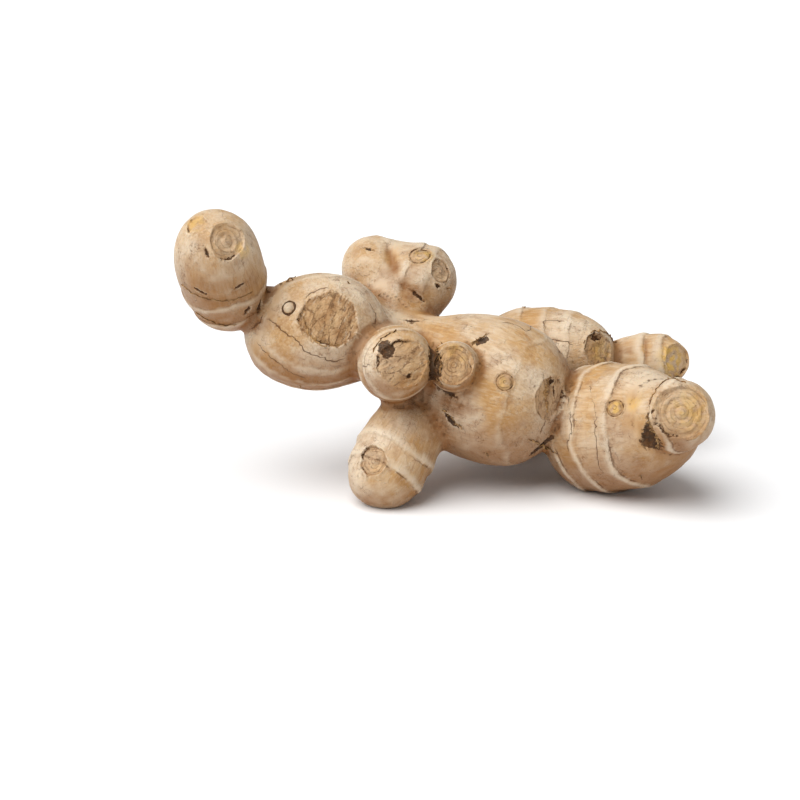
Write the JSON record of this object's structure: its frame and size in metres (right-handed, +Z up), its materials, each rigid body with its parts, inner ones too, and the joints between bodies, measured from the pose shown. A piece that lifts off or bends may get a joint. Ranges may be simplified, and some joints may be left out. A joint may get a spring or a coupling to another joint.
{
  "type": "ginger root",
  "caption": "Fresh ginger root: knobbly branched rhizome of swollen joints and short fingers, with growth rings, round scars and buds.",
  "frame": {"origin": "on the surface the root lies on, under the middle of its bounding box", "axes": "+X along the root's length towards the low thick arm, +Y away from the side with the stubs' end scars, +Z up"},
  "size_m": [0.1594, 0.0902, 0.0873],
  "materials": {
    "ginger_skin": "dry papery skin, matte with a slight sheen"
  },
  "bodies": {
    "root": {"rhizome": "ginger_skin"}
  },
  "joints": []
}
